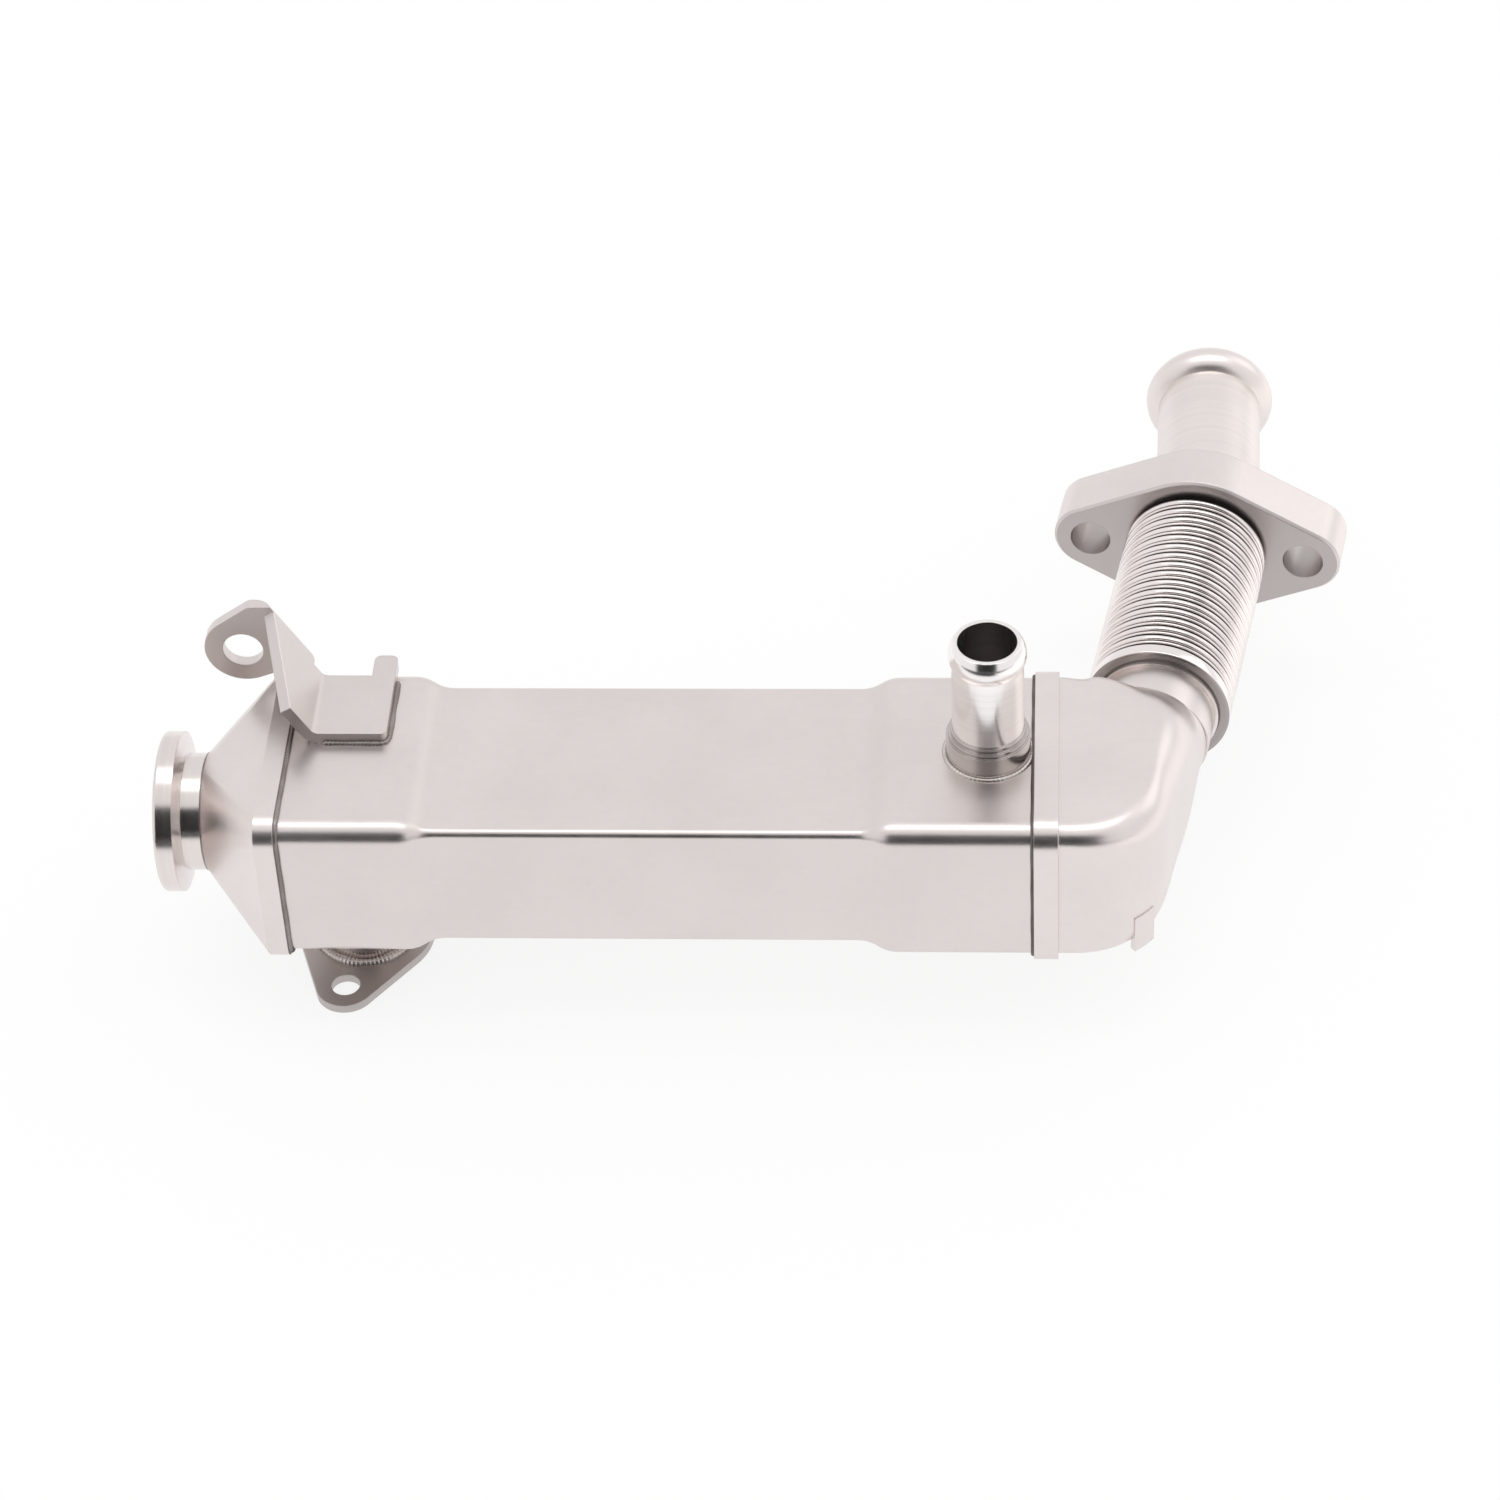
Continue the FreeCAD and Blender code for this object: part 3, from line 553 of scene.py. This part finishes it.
def bellows_section():
    """Outline of the wall as distance along the axis and radius, then the plain bore."""
    quarter = crown_steps // 2
    outline = [(0.0, root_radius), (0.0, cup_middle)]
    outline += crown(cup_corner, cup_corner, crest_radius, end=quarter)
    outline += crown(cup_back, broad_half, crest_radius, begin=quarter)
    outline.append((cup_back + broad_half, root_radius))
    for k in range(pairs_of_crests):
        for first, half, top in ((first_narrow, narrow_half, narrow_radius),
                                 (first_broad, broad_half, crest_radius)):
            centre = first + k * pitch
            outline.append((centre - half, root_radius))
            outline += crown(centre, half, top)
            outline.append((centre + half, root_radius))
    return outline + [(cuff_end, root_radius), (cuff_end, bore_radius), (0.0, bore_radius)]


def revolve(section, base, axis, sides):
    """Rings of a section of distances along the axis and radii, in metres."""
    side = axis.orthogonal().normalized()
    other = axis.cross(side)
    return [[point * MM for point in round_turn(base + axis * along, side, other, radius, sides)]
            for along, radius in section]


bellows_rings = revolve(bellows_section(), bellows_base, bellows_axis, bellows_sides)
bellows_fine = skin("bellows_fine", bellows_rings, bellows_formed)
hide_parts("bellows")
print("bellows faces:", len(bellows_fine.data.polygons))

# %% [markdown]
# ## Finishes for the welds
#
# A weld bead on stainless is a row of small overlapping scales. Where it was brushed after
# welding it is as light as the sheet, and where it wasn't, it keeps a grey to straw oxide.
# The scales could be bump on a plain tube, but a bead is seen against the sheet behind it,
# so they are real ripples in the mesh, and the finish only adds the oxide and a little grit.

# %% Weld finishes
weld_edge = 0.1
weld_grit_scale = 2600.0
oxide_patch_scale = 160.0


def weld_steel(name, level, rough, oxide):
    """Weld metal, with oxide as the strength of its straw patches."""
    finish = Finish(name)
    place = finish.place()
    grit = finish.noise(place, weld_grit_scale, 3.0, 0.6)
    patch = finish.noise(place, oxide_patch_scale, 2.0)
    straw = (level * 0.62, level * 0.52, level * 0.44, 1.0)
    color = finish.blend(grit.ramp(0.3, 0.75), warm(level * 0.85), warm(level * 1.1))
    color = finish.blend(oxide * patch.ramp(0.4, 0.62), color, straw)
    roughness = rough + 0.15 * (grit - 0.5) + 0.1 * (patch - 0.5)
    return metal(finish, color, roughness, grit + 0.4 * patch, weld_edge)


weld_light = weld_steel("weld_light", level=0.66, rough=0.34, oxide=0.25)
weld_grey = weld_steel("weld_grey", level=0.34, rough=0.42, oxide=0.4)
weld_dark = weld_steel("weld_dark", level=0.20, rough=0.5, oxide=0.6)
print("weld finishes:", 3)

# %% [markdown]
# ## A weld bead
#
# The torch moves along the joint and lays one scale over the last, a little under a
# millimetre apart, and its hand is never quite steady. A smooth tube could stand for the
# bead, but light would then run along it in one unbroken line, which no weld has. So a
# thin round section is carried along the path, and its radius swells once for each scale
# and drifts slowly on top of that. An open bead runs out thin at both ends.

# %% The bead helper
scale_pitch = 0.9
bead_sides = 10
drift_share = 0.5           # the slow drift, as a share of the ripple
drift_rate = 0.61
drift_start = 1.3
tip_size = 0.25             # an open bead starts this thin
tip_points = 3              # and grows to its full size over about this many points


def bead(name, path, radius, finish, closed=True, ripple=0.12):
    """Weld bead along a path of points in millimetres, ripple as a share of its radius."""
    count = len(path)
    rings = []
    travelled = 0.0
    last_side = None
    for k, point in enumerate(path):
        before = path[k - 1] if closed or k > 0 else point
        after = path[(k + 1) % count] if closed or k < count - 1 else point
        tangent = (after - before).normalized()
        side = tangent.orthogonal().normalized()
        if last_side:
            side = (last_side - tangent * last_side.dot(tangent)).normalized()
            travelled += (point - path[k - 1]).length
        last_side = side
        drift = math.sin(travelled * drift_rate + drift_start)
        size = radius * (1 + ripple * math.sin(2 * math.pi * travelled / scale_pitch))
        size = size * (1 + drift_share * ripple * drift)
        if not closed:
            size = size * min(1.0, tip_size + min(k, count - 1 - k) / tip_points)
        ring = round_turn(point, side, tangent.cross(side), size, bead_sides)
        rings.append([spot * MM for spot in ring])
    return skin(name, rings, finish, closed)


print("bead helper ready")

# %% [markdown]
# ## Paths for the beads
#
# A bead follows the joint that it closes: a circle round a tube, a rounded rectangle round
# the core, an open line along two sides of the bracket's foot. The path could be taken from
# the edges of a solid's mesh, but those are as coarse or as fine as the mesh happens to be.
# Points from formulas, all about the same step apart, keep the scales of the bead even on
# straights and corners alike.

# %% Paths
bead_step = 0.3
core_corner = 4.4
corner_steps = 8


def circle_path(base, axis, radius):
    axis = Vector(axis).normalized()
    side = axis.orthogonal().normalized()
    count = int(2 * math.pi * radius / bead_step)
    return round_turn(Vector(base), side, axis.cross(side), radius, count)


def even_path(corners, closed=False):
    """Points a step apart along straight runs between corners."""
    stops = corners + corners[:1] if closed else corners
    points = []
    for first, second in zip(stops, stops[1:]):
        count = max(1, int((second - first).length / bead_step))
        points += [first.lerp(second, k / count) for k in range(count)]
    return points if closed else points + [stops[-1]]


def core_path(x, proud):
    """Rounded rectangle round the core at one x, this far outside the shell."""
    corners = []
    for quarter in range(4):
        y = (core_half_y + proud - core_corner) * (1 if quarter in (0, 3) else -1)
        z = (core_half_z + proud - core_corner) * (1 if quarter in (0, 1) else -1)
        for k in range(corner_steps + 1):
            turn = math.radians(90 * quarter + 90 * k / corner_steps)
            corners.append(Vector((x, y + core_corner * math.cos(turn),
                                   z + core_corner * math.sin(turn))))
    return even_path(corners, closed=True)


print("points round the core:", len(core_path(skirt_end, proud=0.0)))

# %% [markdown]
# ## Weld beads
#
# Each joint that shows in a real cooler has its bead: round the skirt of the cone, at the
# edge of the elbow's band, rings at the tubes, and round the bracket's foot. They are what
# ties separate sheets together to the eye. A groove of shadow could stand for them from
# far off, but not from close by or from the side.

# %% Beads round the core
skirt_gap = 0.3
skirt_bead_radius = 0.62
band_gap = 0.2
band_bead_radius = 0.5

skirt_path = core_path(skirt_end + skirt_gap, proud=0.3)
band_path = core_path(band_start - band_gap, proud=0.25)
bead("skirt_bead", skirt_path, skirt_bead_radius, weld_grey)
bead("band_bead", band_path, band_bead_radius, weld_dark)
print("beads round the core:", 2)

# %% [markdown]
# ## Rings at the tubes
#
# A ring needs its centre and axis, the radius of the tube that it runs round, and how
# thick the bead itself is. The neck and the collar have low, fine beads. The spigot, the
# nipple and the outlet tube have full ones, and the heaviest is where the outlet tube
# stands on its flange. The lines are alike, so they stand in one list and a loop lays them.

# %% Beads round the tubes
collar_gap = 0.05
spigot_gap = 0.2
collar_back = bellows_base - bellows_axis * collar_gap
spigot_foot = spigot_base + spigot_axis * spigot_gap

# name, centre, axis, radius of the ring, radius of the bead, finish, slot
tube_rings = [
    ("neck_ring", (neck_end, 0, 0), lengthwise, 13.3, 0.2, weld_grey, "turned_steel"),
    ("collar_ring", collar_back, bellows_axis, 14.35, 0.22, weld_dark, "turned_steel"),
    ("spigot_ring", spigot_foot, spigot_axis, 12.6, 0.5, weld_light, "flange_steel"),
    ("nipple_foot", (nipple_x, 0, core_half_z), upright, 9.75, 0.6, weld_light, "turned_steel"),
    ("outlet_foot", (outlet_x, 0, -core_half_z), upright, 11.0, 0.9, weld_light, "bright_steel"),
    ("outlet_seat", (outlet_x, 0, seat_level), upright, 11.3, 1.1, weld_light, "plate_steel"),
]
for name, centre, axis, ring_radius, bead_radius, finish, slot in tube_rings:
    bead(name, circle_path(centre, axis, ring_radius), bead_radius, finish)
print("beads round tubes:", len(tube_rings))

# %% [markdown]
# ## The bracket's bead
#
# The bracket's foot is welded along the side that faces us, round the corner and back
# along its right end. The arm rises from its other end, where a torch finds no room, so
# the bead stays open. Its scales are deeper than those of the long beads.

# %% Bead at the bracket's foot
foot_outline = [(37.2, 1.9), (50.6, 1.8), (51.9, 2.3), (52.4, 3.6), (52.4, 23.0)]
foot_bead_radius = 0.7
deep_ripple = 0.2
bracket_foot = even_path([Vector((x, y, core_half_z)) for x, y in foot_outline])
bead("bracket_bead", bracket_foot, foot_bead_radius, weld_grey, closed=False,
     ripple=deep_ripple)
print("bracket bead points:", len(bracket_foot))

# %% [markdown]
# ## Camera
#
# A camera could be aimed at the middle of the object and moved until it looks right. Here
# its place, its lens and its three directions come from a fit of the part's known lines
# to the picture, so the same edges fall on the same spots.

# %% The camera
lens = bpy.data.cameras.new("camera")
lens.sensor_width = 36.0
lens.lens = 116.09
lens.clip_end = 50.0
camera = bpy.data.objects.new("camera", lens)
right = Vector((0.997725, 0.052006, -0.042908))
up = Vector((-0.003043, 0.670498, 0.741904))
back = Vector((0.067353, -0.740086, 0.669131))
stand = Matrix.Translation((0.20651, -0.79826, 0.74099))
camera.matrix_world = stand @ Matrix((right, up, back)).transposed().to_4x4()
bpy.context.scene.collection.objects.link(camera)
bpy.context.scene.camera = camera
print("camera distance, m:", round(camera.location.length, 3))

# %% [markdown]
# ## The floor
#
# Steel shows what stands around it, so a pale floor under it matters as much as the lamps.
# A floor could be made white with more light, but that would bleach the steel too. This
# one is white to the camera and in reflections by a glow of its own, and to all other
# rays it is plain paint. A part of its brightness stays lit paint to the camera as well,
# so it still takes the object's shadow.

# %% The floor
floor_level = cad_box[0].z
floor_reach = 6
middle_x = 0.13
middle_y = 0.06
paint_level = 0.95
glow_share = 0.84
full_white = (1.0, 1.0, 1.0, 1.0)


def pale_floor():
    finish = Finish("floor_paint")
    rays = [finish.add("ShaderNodeLightPath", output=kind)
            for kind in ("Is Camera Ray", "Is Glossy Ray", "Is Transmission Ray")]
    seen = (rays[0] + rays[1] + rays[2]).least(1.0)
    pale = (paint_level, paint_level, paint_level, 1.0)
    paint = finish.add("ShaderNodeBsdfDiffuse", {}, {"Color": pale})
    glow = finish.add("ShaderNodeEmission", {}, {"Color": full_white})
    both = finish.add("ShaderNodeMixShader", {}, {0: glow_share * seen, 1: paint, 2: glow})
    finish.add("ShaderNodeOutputMaterial", {}, {"Surface": both})
    return finish.material


def sheet(name, centre, along, across, finish):
    """Flat stage sheet with its centre and two half sides, in metres."""
    grid = bmesh.new()
    corners = []
    for a, b in ((-1, -1), (1, -1), (1, 1), (-1, 1)):
        corners.append(grid.verts.new(Vector(centre) + Vector(along) * a + Vector(across) * b))
    grid.faces.new(corners)
    mesh = bpy.data.meshes.new(name)
    grid.to_mesh(mesh)
    grid.free()
    mesh.materials.append(finish)
    piece = bpy.data.objects.new(name, mesh)
    bpy.context.scene.collection.objects.link(piece)
    return piece


sheet("floor", centre=(middle_x, middle_y, floor_level), along=(floor_reach, 0, 0),
      across=(0, floor_reach, 0), finish=pale_floor())
print("floor at, m:", round(floor_level, 4))

# %% [markdown]
# ## Curtain and card
#
# In a pale room a bright metal loses its edges. A photographer hangs a dark curtain in
# front, with its foot on the floor, and it gives the dark line along each rounded edge. A
# white card on the floor at the right lifts the elbow's outer wall in the same way. Both
# could be lamps and shades, but those would change the light on everything. These show in
# reflections only, so they darken and light nothing else.

# %% What stands round the object
def plain(name, kind, sockets):
    """A stage material of one shader."""
    finish = Finish(name)
    finish.add("ShaderNodeOutputMaterial", {}, {"Surface": finish.add(kind, {}, sockets)})
    return finish.material


def hang(name, centre, along, across, finish):
    """A sheet that only shows in reflections."""
    piece = sheet(name, centre, along, across, finish)
    piece.visible_camera = False
    piece.visible_shadow = False
    piece.visible_diffuse = False


near_black = (0.02, 0.02, 0.02, 1.0)
paper_white = (1.0, 0.99, 0.98, 1.0)
paper_glow = 1.15
cloth = plain("curtain_cloth", "ShaderNodeBsdfDiffuse", {"Color": near_black})
paper = plain("card_paper", "ShaderNodeEmission", {"Color": paper_white, "Strength": paper_glow})

half_width = (0.9, 0, 0)
foot_lift = 0.001
card_lift = 0.002
hang("curtain", centre=(middle_x, -1.6, 0.75), along=half_width, across=(0, 0.25, 0.78),
     finish=cloth)
hang("curtain_foot", centre=(middle_x, -0.885, floor_level + foot_lift), along=half_width,
     across=(0, 0.665, 0), finish=cloth)
hang("card", centre=(0.52, 0.05, floor_level + card_lift), along=(0.22, 0, 0),
     across=(0, 0.42, 0), finish=paper)
print("sheets round the object:", 3)

# %% [markdown]
# ## Lamps and room
#
# A pale room gives most of the light and leaves no hard shadow. A soft lamp overhead adds
# the flat light-grey faces and the shadow under the part, and a weak one stands on the
# right, behind the elbow. Small lamps would give hard sparks on the steel, so both are
# wide sheets of light. Their power stays low enough that no pale face turns blank white.

# %% Lamps and room
def softbox(name, place, target, width, height, power):
    """Wide lamp that looks at its target, sizes in metres and power in watts."""
    lamp = bpy.data.lights.new(name, "AREA")
    lamp.shape = "RECTANGLE"
    lamp.size = width
    lamp.size_y = height
    lamp.energy = power
    holder = bpy.data.objects.new(name, lamp)
    aim = (Vector(target) - Vector(place)).to_track_quat("-Z", "Y")
    holder.matrix_world = Matrix.Translation(place) @ aim.to_matrix().to_4x4()
    bpy.context.scene.collection.objects.link(holder)


softbox("overhead", place=(middle_x, 0.16, 1.7), target=(middle_x, 0.05, 0.0),
        width=1.6, height=0.6, power=5.0)
softbox("side_box", place=(1.5, 0.85, 0.9), target=(0.23, 0.05, 0.0),
        width=1.1, height=1.1, power=1.5)

room_level = 0.9
room = bpy.data.worlds.new("room")
room.use_nodes = True
wall = room.node_tree.nodes["Background"]
wall.inputs["Color"].default_value = full_white
wall.inputs["Strength"].default_value = room_level
bpy.context.scene.world = room
bpy.context.scene.view_settings.view_transform = "Standard"
print("lamps:", 2)

# %% [markdown]
# ## End of the scene
#
# The dressed object must stay inside the box of the solid parts.

# %% End of the scene
print("scene built")
